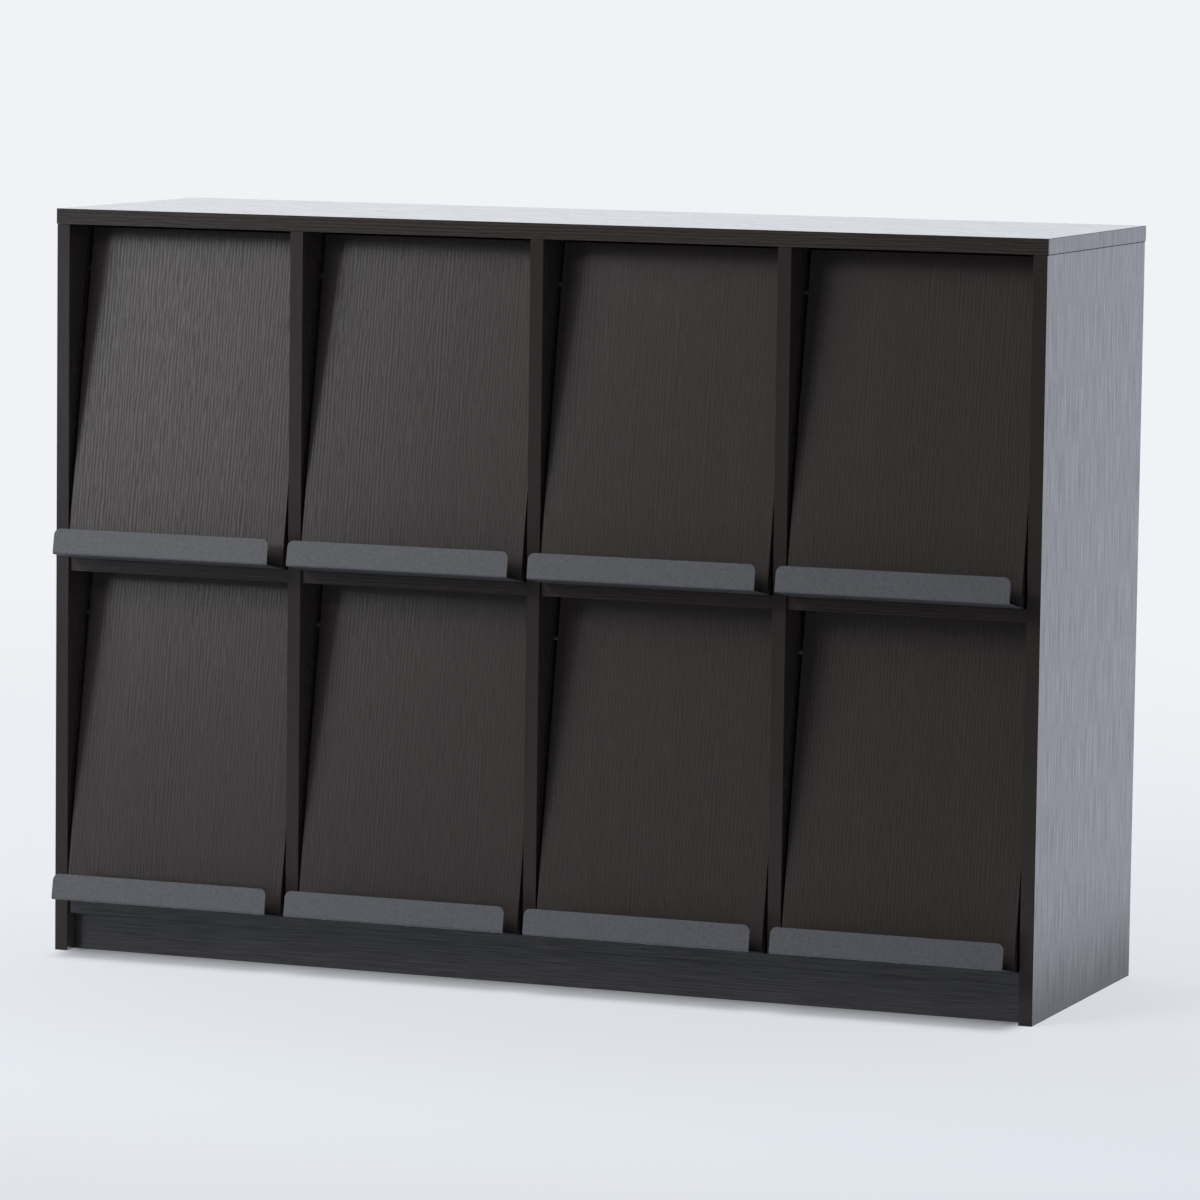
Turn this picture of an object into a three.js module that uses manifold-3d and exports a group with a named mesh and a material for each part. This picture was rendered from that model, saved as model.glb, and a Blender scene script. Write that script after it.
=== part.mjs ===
import * as THREE from 'three';
import { mergeVertices } from 'three/addons/utils/BufferGeometryUtils.js';
import Module from 'manifold-3d';

const wasm = await Module();
wasm.setup();

// A free-standing periodical rack of board and sheet steel, two rows high. In every bay a leaning flap
// shows the latest issue on its steel lip. The flap swings up about two pivot pins, and the pins run back
// along grooves in the walls, so that the flap slides away over the back issues kept behind it.
// Millimetres, +Z up, front towards -Y, origin under the middle of the whole rack at floor level.

// Carcass boards
const bayCount = 4;
const bayWidth = 280;
const bayHeight = 389;
const carcassDepth = 376;
const wallThickness = 16;
const topThickness = 18;
const topOverhang = 1;
const shelfThickness = 15;
const shelfSetback = 4.5;
const baseThickness = 15;
const plinthHeight = 44;
const plinthThickness = 15;
const toeSetback = 20;
const glueLine = 0.2;

// Thin back, let into grooves in the sides and the top
const backThickness = 4;
const backInset = 10;
const backGrooveDepth = 6;
const backPlay = 0.3;

// Flaps
const lean = THREE.MathUtils.degToRad(10);
const flapThickness = 12;
const flapSideGap = 3;
const flapTopGap = 5;
const seatGap = 0.3;
const pinSetback = 55;

// Steel lip, bent from one strip, screwed under the lower edge of its flap
const lipSheet = 1.2;
const lipReach = 40;
const lipHeight = 30;
const lipInset = 1;
const lipBend = 1.2;
const lipCorner = 8;
const lipGap = 0.3;
const lipLiftClearance = 5.8;

// Pivot pins, their holes in the flap edges and their grooves in the walls
const pinDiameter = 6;
const pinChamfer = 0.6;
const pinHoleDepth = 25;
const pinPlay = 0.3;
const pinEndPlay = 0.5;
const pinGrooveDepth = 5;

// Stiffening rails under the ceilings at the back: they hold down the rear edge of a flap that is slid in
const railThickness = 15;
const railPlay = 0.6;

// Facets of round forms
const pinSides = 16;
const bendSteps = 4;
const cornerSteps = 8;

// How far a cut runs past the face that it opens
const cutMargin = 2;

// Places across the rack, from the left side to the right
const insideWidth = bayCount * bayWidth + (bayCount - 1) * wallThickness;
const outsideWidth = insideWidth + 2 * wallThickness;
const bayPitch = bayWidth + wallThickness;
const bayLeft = (column) => -insideWidth / 2 + column * bayPitch;
const bayCentre = (column) => bayLeft(column) + bayWidth / 2;

// Heights
const baseTop = plinthHeight + baseThickness;
const shelfUnder = baseTop + bayHeight;
const shelfTop = shelfUnder + shelfThickness;
const topUnder = shelfTop + bayHeight;
const rows = [
  { name: 'upper', ceiling: topUnder },
  { name: 'lower', ceiling: shelfUnder },
];

// The pin hangs low enough for the lip of a level flap to pass under the ceiling
const pinDrop = flapThickness / 2 + lipReach + lipSheet + lipLiftClearance;
const flapAbovePin = pinDrop - flapTopGap;
const flapWidth = bayWidth - 2 * flapSideGap;

// The flap is just too long to hang upright, so the rear edge of its lip lands on the floor of the bay
const seatDrop = bayHeight - pinDrop - seatGap - (flapThickness / 2) * Math.sin(lean);
const lipUnderPin = seatDrop / Math.cos(lean);
const flapBelowPin = lipUnderPin - lipSheet - lipGap;
const lipFront = flapThickness / 2 + lipReach + lipSheet;
const lipOuterBend = lipBend + lipSheet;

// Depths: the lips stand proud of the carcass, and the origin is under the middle of both together
const bendReach = (lipFront - lipOuterBend) * Math.cos(lean);
const bendSwing = (lipUnderPin - lipOuterBend) * Math.sin(lean);
const lipProud = bendReach + bendSwing + lipOuterBend - pinSetback;
const frontY = (lipProud - carcassDepth) / 2;
const backY = frontY + carcassDepth;
const backPanelRear = backY - backInset;
const backPanelFront = backPanelRear - backThickness;
const insideBack = backPanelFront - glueLine;
const pinY = frontY + pinSetback;

// Materials
const darkWood = new THREE.MeshStandardMaterial({ color: 0x352f2d, roughness: 0.45, metalness: 0 });
const backBoard = new THREE.MeshStandardMaterial({ color: 0x2f2a28, roughness: 0.6, metalness: 0 });
const greyPaint = new THREE.MeshStandardMaterial({ color: 0x5a5c60, roughness: 0.5, metalness: 0.1 });
const pinSteel = new THREE.MeshStandardMaterial({ color: 0xb9b9b6, roughness: 0.3, metalness: 1 });

const rack = new THREE.Group();

function toSolid(geometry) {
  const bare = geometry.clone();
  bare.deleteAttribute('normal');
  bare.deleteAttribute('uv');
  const merged = mergeVertices(bare);
  const vertProperties = merged.attributes.position.array;
  const triVerts = Uint32Array.from(merged.index.array);
  return new wasm.Manifold(new wasm.Mesh({ numProp: 3, vertProperties, triVerts }));
}

function toGeometry(solid) {
  const { vertProperties, triVerts } = solid.getMesh();
  const geometry = new THREE.BufferGeometry();
  geometry.setAttribute('position', new THREE.BufferAttribute(vertProperties, 3));
  geometry.setIndex(new THREE.BufferAttribute(triVerts, 1));
  geometry.computeVertexNormals();
  return geometry;
}

function cut(geometry, cutters) {
  const solid = cutters.reduce((rest, cutter) => rest.subtract(toSolid(cutter)), toSolid(geometry));
  return toGeometry(solid);
}

function place(parent, name, geometry, material, x = 0, y = 0, z = 0) {
  const mesh = new THREE.Mesh(geometry, material);
  mesh.name = name;
  mesh.position.set(x, y, z);
  parent.add(mesh);
}

// A block between two corners
function block(low, high) {
  const size = high.map((value, axis) => value - low[axis]);
  const middle = high.map((value, axis) => (value + low[axis]) / 2);
  return new THREE.BoxGeometry(...size).translate(...middle);
}

// A board between two corners, with its grooves cut out of it
function board(name, material, low, high, cutters = []) {
  const whole = block(low, high);
  const geometry = cutters.length ? cut(whole, cutters) : whole;
  place(rack, name, geometry, material);
}

// An outline drawn in Y and Z, drawn out along X
function alongX(outline, from, to, curveSegments) {
  const settings = { depth: to - from, bevelEnabled: false, curveSegments };
  const geometry = new THREE.ExtrudeGeometry(outline, settings);
  const axes = new THREE.Matrix4().makeBasis(
    new THREE.Vector3(0, 1, 0),
    new THREE.Vector3(0, 0, 1),
    new THREE.Vector3(1, 0, 0),
  );
  return geometry.applyMatrix4(axes).translate(from, 0, 0);
}

// An outline drawn in X and Z, drawn out towards the front from one depth to another
function towardsFront(outline, from, to, curveSegments) {
  const settings = { depth: from - to, bevelEnabled: false, curveSegments };
  const geometry = new THREE.ExtrudeGeometry(outline, settings);
  return geometry.rotateX(Math.PI / 2).translate(0, from, 0);
}

// The groove that one pin runs in: round at the front, open at the back edge of the wall
function pinGroove(faceX, inwards, pinZ) {
  const radius = pinDiameter / 2 + pinPlay;
  const outline = new THREE.Shape();
  outline.moveTo(backPanelFront, pinZ - radius);
  outline.lineTo(backPanelFront, pinZ + radius);
  outline.lineTo(pinY, pinZ + radius);
  outline.absarc(pinY, pinZ, radius, Math.PI / 2, Math.PI * 1.5, false);
  const bottom = faceX + inwards * pinGrooveDepth;
  const mouth = faceX - inwards * cutMargin;
  return alongX(outline, Math.min(bottom, mouth), Math.max(bottom, mouth), pinSides / 2);
}

function pinGrooves(faceX, inwards) {
  return rows.map((row) => pinGroove(faceX, inwards, row.ceiling - pinDrop));
}

function backGroove(low, high) {
  return block(
    [low[0], backPanelFront - backPlay, low[1]],
    [high[0], backPanelRear + backPlay, high[1]],
  );
}

function addSides() {
  const inner = insideWidth / 2;
  const outer = outsideWidth / 2;
  const grooveBottom = inner + backGrooveDepth;
  const ends = [-cutMargin, topUnder + cutMargin];
  board('left_side', darkWood, [-outer, frontY, 0], [-inner, backY, topUnder - glueLine], [
    ...pinGrooves(-inner, -1),
    backGroove([-grooveBottom, ends[0]], [cutMargin - inner, ends[1]]),
  ]);
  board('right_side', darkWood, [inner, frontY, 0], [outer, backY, topUnder - glueLine], [
    ...pinGrooves(inner, 1),
    backGroove([inner - cutMargin, ends[0]], [grooveBottom, ends[1]]),
  ]);
}

function addTop() {
  const half = outsideWidth / 2 + topOverhang;
  const grooveEnd = insideWidth / 2 + backGrooveDepth;
  board('top_panel', darkWood, [-half, frontY, topUnder], [half, backY, topUnder + topThickness], [
    backGroove([-grooveEnd, topUnder - cutMargin], [grooveEnd, topUnder + backGrooveDepth]),
  ]);
}

function addBase() {
  const half = insideWidth / 2 - glueLine;
  const toeY = frontY + toeSetback;
  const plinthTop = plinthHeight - glueLine;
  board('base_board', darkWood, [-half, frontY + shelfSetback, plinthHeight], [half, insideBack, baseTop]);
  board('toe_kick', darkWood, [-half, toeY, 0], [half, toeY + plinthThickness, plinthTop]);
  board('rear_plinth', darkWood, [-half, insideBack - plinthThickness, 0], [half, insideBack, plinthTop]);
}

function addBack() {
  const half = insideWidth / 2 + backGrooveDepth - backPlay;
  const upperEdge = topUnder + backGrooveDepth - backPlay;
  board('back_panel', backBoard, [-half, backPanelFront, plinthHeight], [half, backPanelRear, upperEdge]);
}

function addDividers() {
  for (let wall = 1; wall < bayCount; wall++) {
    const right = bayLeft(wall);
    const left = right - wallThickness;
    const low = [left, frontY, baseTop + glueLine];
    const high = [right, insideBack, topUnder - glueLine];
    board(`divider_${wall}`, darkWood, low, high, [...pinGrooves(left, 1), ...pinGrooves(right, -1)]);
  }
}

function addShelvesAndRails() {
  for (let column = 0; column < bayCount; column++) {
    const left = bayLeft(column) + glueLine;
    const right = bayLeft(column) + bayWidth - glueLine;
    const shelfFront = frontY + shelfSetback;
    board(`shelf_${column + 1}`, darkWood, [left, shelfFront, shelfUnder], [right, insideBack, shelfTop]);
    for (const row of rows) {
      const low = [left, insideBack - railThickness, row.ceiling - pinDrop + flapThickness / 2 + railPlay];
      const high = [right, insideBack, row.ceiling - glueLine];
      board(`rear_rail_${row.name}_${column + 1}`, darkWood, low, high);
    }
  }
}

// The flap board in its own upright frame, with the pin axis as its X axis
function flapGeometry() {
  const half = flapWidth / 2;
  const whole = block(
    [-half, -flapThickness / 2, -flapBelowPin],
    [half, flapThickness / 2, flapAbovePin],
  );
  const holeLength = pinHoleDepth + cutMargin;
  const holeRadius = pinDiameter / 2 + pinPlay;
  const holes = [-1, 1].map((side) => {
    const hole = new THREE.CylinderGeometry(holeRadius, holeRadius, holeLength, pinSides);
    return hole.rotateZ(Math.PI / 2).translate(side * (half - pinHoleDepth + holeLength / 2), 0, 0);
  });
  return cut(whole, holes);
}

// The lip in the same frame: a flange under the flap, bent up at the front, with its upper corners rounded
function lipGeometry() {
  const under = -lipUnderPin;
  const section = new THREE.Shape();
  section.moveTo(flapThickness / 2, under);
  section.lineTo(flapThickness / 2, under + lipSheet);
  section.lineTo(lipOuterBend - lipFront, under + lipSheet);
  section.absarc(lipOuterBend - lipFront, under + lipOuterBend, lipBend, Math.PI * 1.5, Math.PI, true);
  section.lineTo(lipSheet - lipFront, under + lipHeight);
  section.lineTo(-lipFront, under + lipHeight);
  section.lineTo(-lipFront, under + lipOuterBend);
  section.absarc(lipOuterBend - lipFront, under + lipOuterBend, lipOuterBend, Math.PI, Math.PI * 1.5, false);

  const half = flapWidth / 2 - lipInset;
  const roundZ = under + lipHeight - lipCorner;
  const face = new THREE.Shape();
  face.moveTo(-half, under - cutMargin);
  face.lineTo(half, under - cutMargin);
  face.lineTo(half, roundZ);
  face.absarc(half - lipCorner, roundZ, lipCorner, 0, Math.PI / 2, false);
  face.absarc(lipCorner - half, roundZ, lipCorner, Math.PI / 2, Math.PI, false);

  const strip = toSolid(alongX(section, -half - cutMargin, half + cutMargin, bendSteps));
  const outline = toSolid(towardsFront(face, flapThickness, -lipFront - cutMargin, cornerSteps));
  return toGeometry(strip.intersect(outline));
}

// A pin between the bottom of its hole and the bottom of its groove, with chamfered ends, along +X
function pinGeometry(length) {
  const radius = pinDiameter / 2;
  const profile = [
    new THREE.Vector2(0, 0),
    new THREE.Vector2(radius - pinChamfer, 0),
    new THREE.Vector2(radius, pinChamfer),
    new THREE.Vector2(radius, length - pinChamfer),
    new THREE.Vector2(radius - pinChamfer, length),
    new THREE.Vector2(0, length),
  ];
  return new THREE.LatheGeometry(profile, pinSides).rotateZ(-Math.PI / 2);
}

function addFlap(row, column) {
  const label = `${row.name}_${column + 1}`;
  const pinZ = row.ceiling - pinDrop;
  const leaf = new THREE.Group();
  leaf.position.set(bayCentre(column), pinY, pinZ);
  leaf.rotation.x = -lean;
  rack.add(leaf);
  place(leaf, `flap_${label}`, flapGeometry(), darkWood);
  place(leaf, `lip_${label}`, lipGeometry(), greyPaint);

  const innerEnd = flapWidth / 2 - pinHoleDepth + pinEndPlay;
  const outerEnd = bayWidth / 2 + pinGrooveDepth - pinEndPlay;
  const pin = pinGeometry(outerEnd - innerEnd);
  place(rack, `pivot_pin_${label}_left`, pin, pinSteel, bayCentre(column) - outerEnd, pinY, pinZ);
  place(rack, `pivot_pin_${label}_right`, pin, pinSteel, bayCentre(column) + innerEnd, pinY, pinZ);
}

addSides();
addTop();
addBase();
addBack();
addDividers();
addShelvesAndRails();
for (const row of rows) {
  for (let column = 0; column < bayCount; column++) {
    addFlap(row, column);
  }
}

export default rack;
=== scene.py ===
import math

import bmesh
import bpy
from mathutils import Matrix, Vector


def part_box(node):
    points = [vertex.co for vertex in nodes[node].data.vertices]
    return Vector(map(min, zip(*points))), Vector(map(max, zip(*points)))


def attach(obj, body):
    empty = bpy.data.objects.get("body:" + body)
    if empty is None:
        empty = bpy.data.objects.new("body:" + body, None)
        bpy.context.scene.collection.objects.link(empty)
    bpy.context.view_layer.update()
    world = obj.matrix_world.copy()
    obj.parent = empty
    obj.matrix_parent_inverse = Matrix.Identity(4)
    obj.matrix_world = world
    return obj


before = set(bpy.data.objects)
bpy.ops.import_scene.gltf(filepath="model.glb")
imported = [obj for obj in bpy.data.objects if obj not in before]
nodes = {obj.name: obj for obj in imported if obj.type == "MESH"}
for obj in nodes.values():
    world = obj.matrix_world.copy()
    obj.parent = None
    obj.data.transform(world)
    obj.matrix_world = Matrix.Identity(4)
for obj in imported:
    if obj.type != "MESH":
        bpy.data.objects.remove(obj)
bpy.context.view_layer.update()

rowNames = ("upper", "lower")
bayNumbers = (1, 2, 3, 4)
labels = [f"{row}_{bay}" for row in rowNames for bay in bayNumbers]
lean = math.radians(10)  # the flaps lean out at the foot by this much


class Wire:  # a socket that can stand in a sum; every sum adds its Math node
    def __init__(self, tree, socket=None):
        self.tree = tree
        self.socket = socket

    def node(self, kind, settings, sockets, out=0):
        made = self.tree.nodes.new("ShaderNode" + kind)
        for key, value in settings.items():
            setattr(made, key, value)
        for key, value in sockets.items():
            if isinstance(value, Wire):
                self.tree.links.new(value.socket, made.inputs[key])
            else:
                made.inputs[key].default_value = value
        return Wire(self.tree, made.outputs[out] if made.outputs else None)

    def maths(self, operation, first, second=0.0):
        return self.node("Math", {"operation": operation}, {0: first, 1: second})

    def __add__(self, other):
        return self.maths("ADD", self, other)

    def __radd__(self, other):
        return self.maths("ADD", other, self)

    def __sub__(self, other):
        return self.maths("SUBTRACT", self, other)

    def __rsub__(self, other):
        return self.maths("SUBTRACT", other, self)

    def __mul__(self, other):
        return self.maths("MULTIPLY", self, other)

    def __rmul__(self, other):
        return self.maths("MULTIPLY", other, self)

    def __abs__(self):
        return self.maths("ABSOLUTE", self)

    def ramp(self, low, high):  # smooth step from 0 at low to 1 at high
        limits = {"From Min": low, "From Max": high}
        return self.node("MapRange", {"interpolation_type": "SMOOTHSTEP"}, {"Value": self, **limits})

    def scaled(self, factors):
        return self.node("VectorMath", {"operation": "MULTIPLY"}, {0: self, 1: factors})

    def shifted(self, offset):
        return self.node("VectorMath", {"operation": "ADD"}, {0: self, 1: offset})

    def noise(self, detail=2.0, roughness=0.5, out=0):
        sockets = {"Vector": self, "Scale": 1.0, "Detail": detail, "Roughness": roughness}
        return self.node("TexNoise", {}, sockets, out)

    def blend(self, first, second):  # this value mixes two colours
        return self.node("Mix", {"data_type": "RGBA"}, {0: self, 6: first, 7: second}, 2)

    def axis(self, index):
        return self.node("SeparateXYZ", {}, {0: self}, index)


def startFinish(name):
    material = bpy.data.materials.new(name)
    material.use_nodes = True
    material.node_tree.nodes.clear()
    return material, Wire(material.node_tree)


def colour(red, green, blue):  # sRGB steps as they read on screen
    steps = [value / 255 for value in (red, green, blue)]
    return [v / 12.92 if v <= 0.04045 else ((v + 0.055) / 1.055) ** 2.4 for v in steps] + [1.0]


# camera, fitted to the photograph
camera = {
    "place": (2.581, -6.570, 1.184),
    "azimuth": math.radians(21.31),
    "elevation": math.radians(6.11),
    "roll": math.radians(0.74),
    "lens": 184.1,
    "sensor": 36.0,
}


def setCamera():
    az, el = camera["azimuth"], camera["elevation"]
    back = Vector((math.sin(az) * math.cos(el), -math.cos(az) * math.cos(el), math.sin(el)))
    level = Vector((0, 0, 1)).cross(back).normalized()
    turn = Matrix.Rotation(camera["roll"], 3, back)
    right = turn @ level
    above = back.cross(right)
    data = bpy.data.cameras.new("camera")
    data.lens = camera["lens"]
    data.sensor_width = camera["sensor"]
    data.clip_end = 200
    eye = bpy.data.objects.new("camera", data)
    eye.matrix_world = Matrix.Translation(camera["place"]) @ Matrix((right, above, back)).transposed().to_4x4()
    bpy.context.scene.collection.objects.link(eye)
    bpy.context.scene.camera = eye


setCamera()
print("camera set")


# plain studio: pale paper on the floor, a bright wall behind, soft boxes at the left and above the front
studio = {
    "floorRadius": 150.0,
    "paperTone": colour(232, 234, 238),
    "nearTone": colour(230, 233, 238),
    "farTone": colour(241, 242, 246),
    "mirrorTone": colour(236, 241, 255),  # the paper as gloss shows it
    "toneEdges": (-0.9, 0.8),  # where the near tone starts to turn into the far one, and where it has
    "shadowEdges": (-1.5, 4.0),  # the same for the shadow's fading
    "footTone": colour(24, 24, 30),  # shade on the paper under the lips and the base
    "footReach": 0.071,
    "footCurve": 1.5,
    "footEdges": (0.57, 0.60),  # it ends at the sides
    "sideEdges": (0.59, 0.83),  # painted shade: gloss sees the paper beside the right side darkened, as in the rack's shadow
    "sideShade": 0.52,
    "roomTone": colour(46, 46, 48),
    "paperEnd": (-2.3, -0.8),  # the paper ends towards the dim front of the room
    "shadowShare": 0.33,
    "leftTone": colour(239, 240, 245),  # what the object sees of the wall behind and of the front of the room
    "rightTone": colour(228, 236, 250),
    "frontTone": colour(216, 230, 255),
    "frontLight": 0.23,
    "backLight": {"left": 1.42, "right": 1.0},
    "lamps": {
        "leftBox": {"place": (-2.88, -3.26, 2.43), "aim": (0.0, -0.2, 0.45), "size": (2.5, 2.4)},
        "leftStrip": {"place": (-3.10, -4.60, 0.34), "aim": (-0.3, -0.2, 0.45), "size": (1.1, 0.6)},
        "frontBox": {"place": (-1.20, -3.30, 2.20), "aim": (0.3, 0.0, 0.50), "size": (0.9, 0.7)},
        "topBox": {"place": (-2.88, -3.26, 2.43), "aim": (0.0, -0.2, 0.45), "size": (2.5, 2.4)},
        "lowFill": {"place": (0.90, -3.50, 0.35), "aim": (0.3, 0.0, 0.45), "size": (0.8, 0.6)},
    },
    "power": {"leftBox": 120, "leftStrip": 14, "frontBox": 48, "topBox": 120, "lowFill": 10},
    "tint": {
        "leftBox": (0.97, 0.985, 1),
        "leftStrip": (0.70, 0.84, 1),
        "frontBox": (0.98, 0.985, 1),
        "topBox": (0.97, 0.985, 1),
        "lowFill": (0.90, 0.95, 1),
    },
    "dull": ("frontBox", "topBox", "lowFill"),  # these light the boards and don't show in their gloss
    "gloss": ("leftStrip",),  # this one shows in gloss alone
    "topLink": {"leftBox": "EXCLUDE", "topBox": "INCLUDE"},  # the left box would glare in the top from behind
}


def setFloor():
    shape = bmesh.new()
    bmesh.ops.create_circle(shape, cap_ends=True, segments=96, radius=studio["floorRadius"])
    mesh = bpy.data.meshes.new("floor")
    shape.to_mesh(mesh)
    shape.free()
    floor = bpy.data.objects.new("floor", mesh)
    bpy.context.scene.collection.objects.link(floor)
    material, wire = startFinish("palePaper")
    place = wire.node("TexCoord", {}, {}, "Object")
    depth = place.axis(1)
    far = depth.ramp(*studio["toneEdges"])
    seen = wire.node("LightPath", {}, {}, "Is Camera Ray")
    mirrored = wire.node("LightPath", {}, {}, "Is Glossy Ray")
    # painted contact shade: ambient occlusion darkens the paper's glow in front of the base, under the lips,
    # and stops at the sides
    bare = wire.node("AmbientOcclusion", {"samples": 8}, {"Distance": studio["footReach"]}, "AO")
    outside = abs(place.axis(0)).ramp(*studio["footEdges"])
    foot = (1 - wire.maths("POWER", bare, studio["footCurve"])) * (1 - outside)
    paperSeen = foot.blend(far.blend(studio["nearTone"], studio["farTone"]), studio["footTone"])
    # painted shade in what gloss sees of the paper beside the right side
    atRight = place.axis(0).ramp(*studio["footEdges"])
    bySide = atRight * (1 - place.axis(0).ramp(*studio["sideEdges"])) * studio["sideShade"]
    paperMirrored = bySide.blend(studio["mirrorTone"], studio["footTone"])
    tone = mirrored.blend(paperSeen, paperMirrored)
    through = wire.node("LightPath", {}, {}, "Is Transmission Ray")
    lit = depth.ramp(*studio["paperEnd"])
    paper = wire.node("BsdfDiffuse", {}, {"Color": lit.blend(studio["roomTone"], studio["paperTone"])})
    glow = wire.node("Emission", {}, {"Color": tone})
    shadow = (lit - depth.ramp(*studio["shadowEdges"])) * studio["shadowShare"]
    share = (seen + through) * (1 - shadow) + mirrored * lit
    both = wire.node("MixShader", {}, {0: share, 1: paper, 2: glow})
    wire.node("OutputMaterial", {}, {"Surface": both})
    mesh.materials.append(material)


def setWorld():
    world = bpy.data.worlds.new("studio")
    world.use_nodes = True
    world.node_tree.nodes.clear()
    wire = Wire(world.node_tree)
    seen = wire.node("LightPath", {}, {}, "Is Camera Ray")
    way = wire.node("TexCoord", {}, {}, "Generated")
    behind = way.axis(1).ramp(-0.3, 0.5)
    atRight = way.axis(0).ramp(-0.6, 0.3)
    back = studio["backLight"]
    wall = back["left"] + atRight * (back["right"] - back["left"])
    room = behind * (wall - studio["frontLight"]) + studio["frontLight"]
    strength = seen + (1 - seen) * room
    shade = behind.blend(studio["frontTone"], atRight.blend(studio["leftTone"], studio["rightTone"]))
    tone = seen.blend(shade, studio["farTone"])
    sky = wire.node("Background", {}, {"Color": tone, "Strength": strength})
    wire.node("OutputWorld", {}, {"Surface": sky})
    bpy.context.scene.world = world


def setLamps():
    for name, lamp in studio["lamps"].items():
        data = bpy.data.lights.new(name, "AREA")
        data.shape = "RECTANGLE"
        data.size, data.size_y = lamp["size"]
        data.energy = studio["power"][name]
        data.color = studio["tint"][name]
        light = bpy.data.objects.new(name, data)
        light.location = lamp["place"]
        away = Vector(lamp["place"]) - Vector(lamp["aim"])
        light.rotation_mode = "QUATERNION"
        light.rotation_quaternion = away.to_track_quat("Z", "Y")
        light.visible_camera = False
        light.visible_glossy = name not in studio["dull"]
        light.visible_diffuse = name not in studio["gloss"]
        bpy.context.scene.collection.objects.link(light)
        if name in studio["topLink"]:
            linked = bpy.data.collections.new(name + "Link")
            linked.objects.link(nodes["top_panel"])
            light.light_linking.receiver_collection = linked
            linked.collection_objects[0].light_linking.link_state = studio["topLink"][name]


setFloor()
setWorld()
setLamps()
bpy.context.scene.view_settings.view_transform = "Standard"
print("studio set")


# dark wood-grain laminate: fine wavering lines, broken into dashes, with a satin coat on the ridges
laminate = {
    "light": colour(56, 50, 47),
    "dark": colour(42, 37, 35),
    "periods": (0.0036, 0.0045),
    "waver": 15.0,  # how far the lines wander, in radians of their period
    "waverSize": (0.025, 0.26),  # across and along the grain
    "jitter": 5.0,
    "jitterSize": (0.006, 0.032),
    "dashSize": (0.0019, 0.024),
    "streakSize": (0.0019, 0.08),
    "bandSize": (0.035, 0.45),
    "relief": 0.00008,
    "roughness": 0.30,
    "coatRoughness": 0.23,
}
# gloss: coat all over, more on the ridges, what is left of it on faces to the front, and long streaks in it
satin = {
    "coat": 0.64,
    "ridgeCoat": 0.64,
    "frontShare": 0.06,
    "paintedFrontShade": 0.8,  # front faces painted darker: painted shade, as the front edges get less light than the leaning flaps
    "streaks": 0.75,
    "specular": 0.05,
    "coatIor": 2.0,
}
level = {**satin, "coat": 0.60, "ridgeCoat": 0.60, "paintedFrontShade": 0.0}  # top and shelves
# base and toe kick: the darker dark tone and fully darkened fronts are painted shade, as they stand in the
# shade under the lips; they mirror the paper in front of them
kicked = {**satin, "frontShare": 0.23, "paintedFrontShade": 1.0, "dark": colour(31, 29, 30)}
matt = {
    "light": colour(53, 47, 44),
    "dark": colour(45, 40, 38),
    "relief": 0.00004,
    "coat": 0.16,
    "ridgeCoat": 0.20,
    "frontShare": 1.0,
    "paintedFrontShade": 0.0,
    "streaks": 0.0,
    "specular": 0.06,
    "coatIor": 1.5,
}
axes = {"x": 0, "y": 1, "z": 2}


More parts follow.
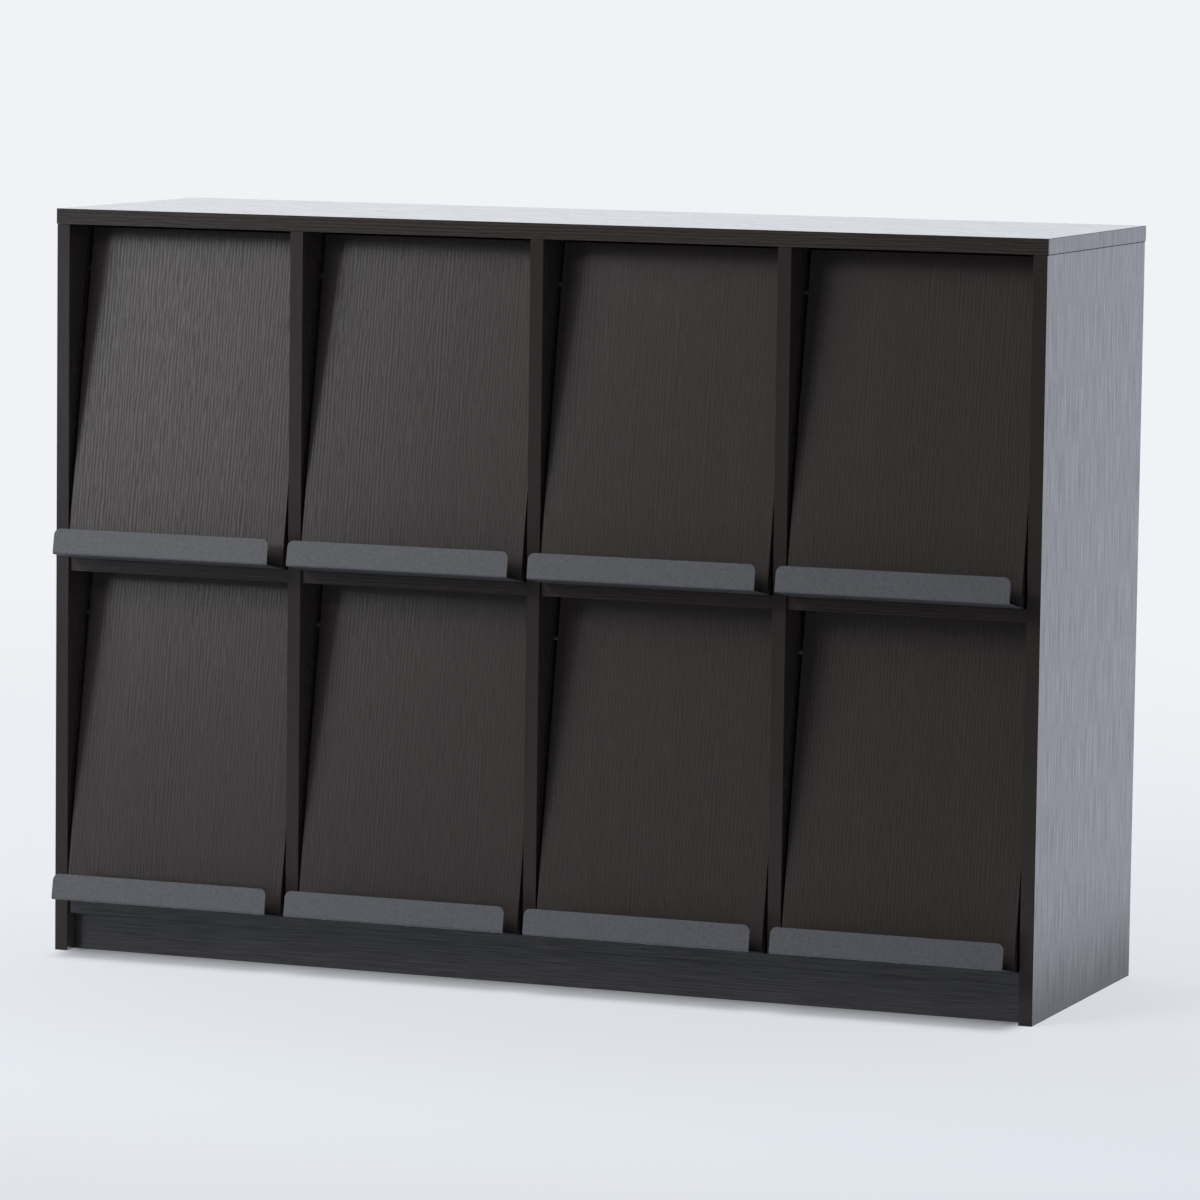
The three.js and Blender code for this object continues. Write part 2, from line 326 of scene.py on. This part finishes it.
def laminateFinish(name, grain, endGrain, gloss, tilt=0.0):
    look = laminate
    material, wire = startFinish(name)
    place = wire.node("TexCoord", {}, {}, "Object")
    facing = wire.node("TexCoord", {}, {}, "Normal")
    if tilt:
        turn = {"rotation_type": "X_AXIS"}
        place = wire.node("VectorRotate", turn, {"Vector": place, "Angle": tilt})
        facing = wire.node("VectorRotate", turn, {"Vector": facing, "Angle": tilt})
    isEnd = abs(facing.axis(axes[grain])).ramp(0.6, 0.8)

    def runs(direction):  # distances across and along one direction of the grain
        others = [place.axis(axes[name]) for name in axes if name != direction]
        return others[0] + others[1], place.axis(axes[direction])

    faceAcross, faceAlong = runs(grain)
    endAcross, endAlong = runs(endGrain)
    across = faceAcross + (endAcross - faceAcross) * isEnd
    along = faceAlong + (endAlong - faceAlong) * isEnd

    def drawn(size, layer, detail=1.0, fine=0.5):  # noise drawn out along the grain
        sockets = {0: across * (1 / size[0]), 1: along * (1 / size[1]), 2: layer}
        return wire.node("CombineXYZ", {}, sockets).noise(detail, fine)

    def stripes(period, layer):
        phase = across * (2 * math.pi / period) + drawn(look["waverSize"], layer) * look["waver"]
        phase += drawn(look["jitterSize"], layer + 2) * look["jitter"]
        return wire.maths("SINE", phase) * 0.5 + 0.5

    dashes = drawn(look["dashSize"], 3.0).ramp(0.36, 0.64)
    bands = drawn(look["bandSize"], 7.0).ramp(0.3, 0.7)
    ridges = stripes(look["periods"][0], 11.0) * 0.46 + stripes(look["periods"][1], 19.0) * 0.32 + dashes * 0.22
    ridges = ridges.ramp(0.2, 0.8)
    isFront = abs(facing.axis(axes["y"])).ramp(0.6, 0.8)
    square = abs(facing.axis(0))
    for turned in (1, 2):
        square = wire.maths("MAXIMUM", square, abs(facing.axis(turned)))
    isFlat = square.ramp(0.97, 0.995)  # eased edges are dark and dull: the edge bands' dark rim, and painted shade in the joints between boards
    # painted shade: faces to the front are pushed towards the dark tone
    pale = (ridges * 0.88 + bands * 0.12) * (1 - isFront * gloss["paintedFrontShade"]) * isFlat
    tone = pale.blend(gloss.get("dark", look["dark"]), gloss.get("light", look["light"]))
    relief = gloss.get("relief", look["relief"])
    bump = wire.node("Bump", {}, {"Height": ridges, "Distance": relief, "Strength": 0.5})
    rough = look["roughness"] + 0.03 - ridges * 0.06
    shine = (ridges * 0.94 + bands * 0.06).ramp(0.1, 0.9)
    if gloss["streaks"]:
        streaks = drawn(look["streakSize"], 23.0, 2.0, 0.75).ramp(0.36, 0.64)
        shine = shine * (1 - gloss["streaks"]) + streaks * gloss["streaks"]
    coat = shine * gloss["ridgeCoat"] + gloss["coat"]
    coat = coat * (1 - isFront * (1 - gloss["frontShare"])) * isFlat
    sockets = {"Base Color": tone, "Roughness": rough, "Normal": bump, "Specular IOR Level": gloss["specular"]}
    sockets.update({"Coat Weight": coat, "Coat Roughness": look["coatRoughness"], "Coat IOR": gloss["coatIor"]})
    board = wire.node("BsdfPrincipled", {}, sockets)
    wire.node("OutputMaterial", {}, {"Surface": board})
    return material


# grey powder coat on the bent steel lips
lipPaint = {
    "tone": colour(73, 73, 75),
    "deep": colour(52, 53, 55),
    "grain": 0.0018,
    "cloud": 0.0045,
}


def lipFinish():
    look = lipPaint
    material, wire = startFinish("greyPowderCoat")
    place = wire.node("TexCoord", {}, {}, "Object")
    grain = place.scaled([1 / look["grain"]] * 3).noise(2.0, 0.6)
    cloud = place.scaled([1 / look["cloud"]] * 3).noise(3.0, 0.7)
    tone = (grain * 0.6 + cloud * 0.4).ramp(0.3, 0.7).blend(look["deep"], look["tone"])
    bump = wire.node("Bump", {}, {"Height": grain, "Distance": 0.0001, "Strength": 0.4})
    rough = 0.46 + cloud * 0.08
    paint = wire.node("BsdfPrincipled", {}, {"Base Color": tone, "Roughness": rough, "Normal": bump})
    wire.node("OutputMaterial", {}, {"Surface": paint})
    return material


# turned steel of the pivot pins
pinSteel = {"tone": colour(128, 128, 127), "ring": 0.0004}


def steelFinish():
    look = pinSteel
    material, wire = startFinish("turnedSteel")
    place = wire.node("TexCoord", {}, {}, "Object")
    rings = place.scaled((1 / look["ring"], 20, 20)).noise(2.0, 0.5)
    bump = wire.node("Bump", {}, {"Height": rings, "Distance": 0.00003, "Strength": 0.4})
    rough = 0.22 + rings * 0.12
    sockets = {"Base Color": look["tone"], "Metallic": 1.0, "Roughness": rough, "Normal": bump}
    steel = wire.node("BsdfPrincipled", {}, sockets)
    wire.node("OutputMaterial", {}, {"Surface": steel})
    return material


# thin back board: dull paper with a printed grain over hardboard
backBoard = {
    "light": colour(68, 61, 57),
    "dark": colour(40, 35, 33),
    "grain": (0.0022, 0.09),  # across and up the board
    "cloud": (0.03, 0.35),
}


def backFinish():
    look = backBoard
    material, wire = startFinish("backBoard")
    place = wire.node("TexCoord", {}, {}, "Object")

    def drawn(size):
        return place.scaled((1 / size[0], 1 / size[0], 1 / size[1])).noise(3.0, 0.65)

    grain = drawn(look["grain"])
    cloud = drawn(look["cloud"])
    tone = (grain * 0.65 + cloud * 0.35).ramp(0.32, 0.68).blend(look["dark"], look["light"])
    bump = wire.node("Bump", {}, {"Height": grain, "Distance": 0.0001, "Strength": 0.5})
    rough = 0.46 + cloud * 0.2
    sockets = {"Base Color": tone, "Roughness": rough, "Normal": bump, "Specular IOR Level": 0.3}
    board = wire.node("BsdfPrincipled", {}, sockets)
    wire.node("OutputMaterial", {}, {"Surface": board})
    return material


# zinc-plated screws of the lips and the back
screwZinc = {"tone": colour(142, 143, 146), "dull": colour(104, 103, 101), "speck": 0.0006}


def screwFinish():
    look = screwZinc
    material, wire = startFinish("zincPlate")
    place = wire.node("TexCoord", {}, {}, "Object")
    specks = place.scaled([1 / look["speck"]] * 3).noise(2.0, 0.6)
    tone = specks.ramp(0.4, 0.65).blend(look["tone"], look["dull"])
    bump = wire.node("Bump", {}, {"Height": specks, "Distance": 0.00003, "Strength": 0.4})
    rough = 0.34 + specks * 0.16
    sockets = {"Base Color": tone, "Metallic": 1.0, "Roughness": rough, "Normal": bump}
    steel = wire.node("BsdfPrincipled", {}, sockets)
    wire.node("OutputMaterial", {}, {"Surface": steel})
    return material


uprightGrain = laminateFinish("laminateUpright", "z", "x", satin)
levelGrain = laminateFinish("laminateLevel", "x", "z", level)
toeGrain = laminateFinish("laminateToe", "x", "z", kicked)
flapGrain = laminateFinish("laminateFlap", "z", "x", matt, lean)
backPaper = backFinish()
greyCoat = lipFinish()
steel = steelFinish()
zinc = screwFinish()
print("finishes made")


# eased edges of boards and sheet
edges = {
    "board": 0.0005,
    "lip": 0.0003,
    "segments": 2,
    "sharp": math.radians(40),
    "join": 0.00001,  # the frame's faces come apart, so their corners are joined first
    "flat": math.radians(0.5),
}


def ease(node, width):
    modifiers = nodes[node].modifiers
    joined = modifiers.new("joinedCorners", "WELD")
    joined.merge_threshold = edges["join"]
    whole = modifiers.new("wholeFaces", "DECIMATE")
    whole.decimate_type = "DISSOLVE"
    whole.angle_limit = edges["flat"]
    bevel = modifiers.new("easedEdges", "BEVEL")
    bevel.width = width
    bevel.segments = edges["segments"]
    bevel.limit_method = "ANGLE"
    bevel.angle_limit = edges["sharp"]
    bevel.use_clamp_overlap = False


def dress(node, material, width=0.0):
    piece = nodes[node]
    piece.data.materials.clear()
    piece.data.materials.append(material)
    if width:
        ease(node, width)


uprights = ["left_side", "right_side"] + [f"divider_{wall}" for wall in (1, 2, 3)]
levels = ["top_panel", "rear_plinth"] + [f"shelf_{bay}" for bay in bayNumbers]
levels += [f"rear_rail_{label}" for label in labels]
dress("back_panel", backPaper, edges["board"])
for board in ("base_board", "toe_kick"):
    dress(board, toeGrain, edges["board"])
for board in uprights:
    dress(board, uprightGrain, edges["board"])
for board in levels:
    dress(board, levelGrain, edges["board"])
for label in labels:
    dress(f"flap_{label}", flapGrain, edges["board"])
    dress(f"lip_{label}", greyCoat, edges["lip"])
    for side in ("left", "right"):
        dress(f"pivot_pin_{label}_{side}", steel)
print("boards, lips and pins dressed")

# screws: a domed head with a cross recess, its flat side against the face that it holds
lipScrew = {
    "radius": 0.0031,
    "dome": 0.0004,
    "cross": 0.0016,
    "slot": 0.00042,
    "deep": 0.00036,
    "places": (-0.105, 0.0, 0.105),
}
backScrew = {"radius": 0.0036, "dome": 0.0021, "cross": 0.0019, "slot": 0.00048, "deep": 0.0016, "heights": (0.16, 0.35, 0.56, 0.75)}
screwRings = 14
screwSides = 48


def addScrewHead(shape, screw, frameOfHead):  # the head stands along +Z of its own frame
    radius, dome = screw["radius"], screw["dome"]

    def height(x, y):
        out = math.hypot(x, y) / radius
        crown = dome * (0.45 + 0.55 * math.sqrt(max(0.0, 1 - out ** 2)))
        reach = max(abs(x), abs(y))
        inCross = min(abs(x), abs(y)) < screw["slot"] and reach < screw["cross"]
        return crown - screw["deep"] * (1 - reach / screw["cross"]) ** 0.5 if inCross else crown

    steps = [radius * (ring + 1) / screwRings for ring in range(screwRings)]
    turns = [2 * math.pi * (side + 0.5) / screwSides for side in range(screwSides)]
    middle = shape.verts.new(frameOfHead @ Vector((0, 0, height(0, 0))))
    rings = []
    for step in steps:
        points = [(step * math.cos(turn), step * math.sin(turn)) for turn in turns]
        rings.append([shape.verts.new(frameOfHead @ Vector((x, y, height(x, y)))) for x, y in points])
    foot = [(radius * math.cos(turn), radius * math.sin(turn)) for turn in turns]
    rings.append([shape.verts.new(frameOfHead @ Vector((x, y, 0))) for x, y in foot])
    for side in range(screwSides):
        after = (side + 1) % screwSides
        shape.faces.new((middle, rings[0][side], rings[0][after]))
        for inner, outer in zip(rings, rings[1:]):
            shape.faces.new((inner[side], outer[side], outer[after], inner[after]))
    shape.faces.new(list(reversed(rings[-1])))


def addScrews(name, screw, frames, body):
    shape = bmesh.new()
    for frameOfHead in frames:
        addScrewHead(shape, screw, frameOfHead)
    mesh = bpy.data.meshes.new(name)
    shape.to_mesh(mesh)
    shape.free()
    mesh.materials.append(zinc)
    piece = bpy.data.objects.new(name, mesh)
    bpy.context.scene.collection.objects.link(piece)
    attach(piece, body)


def middleOf(node):
    low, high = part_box(node)
    return (Vector(low) + Vector(high)) / 2


flangeUnderPin = 0.33982  # from the pin's axis down to the underside of the lip's flange, along the flap
downwards = Matrix.Rotation(math.pi, 4, "X")
for label in labels:
    pins = [middleOf(f"pivot_pin_{label}_{side}") for side in ("left", "right")]
    leaf = Matrix.Translation((pins[0] + pins[1]) / 2) @ Matrix.Rotation(-lean, 4, "X")
    frames = [leaf @ Matrix.Translation((x, 0, -flangeUnderPin)) @ downwards for x in lipScrew["places"]]
    addScrews(f"lip_screws_{label}", lipScrew, frames, f"door_{label}")
backwards = Matrix.Rotation(-math.pi / 2, 4, "X")
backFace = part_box("back_panel")[1][1]
spots = [(middleOf(f"divider_{wall}").x, height) for wall in (1, 2, 3) for height in backScrew["heights"]]
spots += [(middleOf(f"shelf_{bay}").x, middleOf(f"shelf_{bay}").z) for bay in bayNumbers]
spots += [(middleOf(f"shelf_{bay}").x, middleOf("base_board").z) for bay in bayNumbers]
frames = [Matrix.Translation((x, backFace, z)) @ backwards for x, z in spots]
addScrews("back_screws", backScrew, frames, "carcass")
print("screws made")
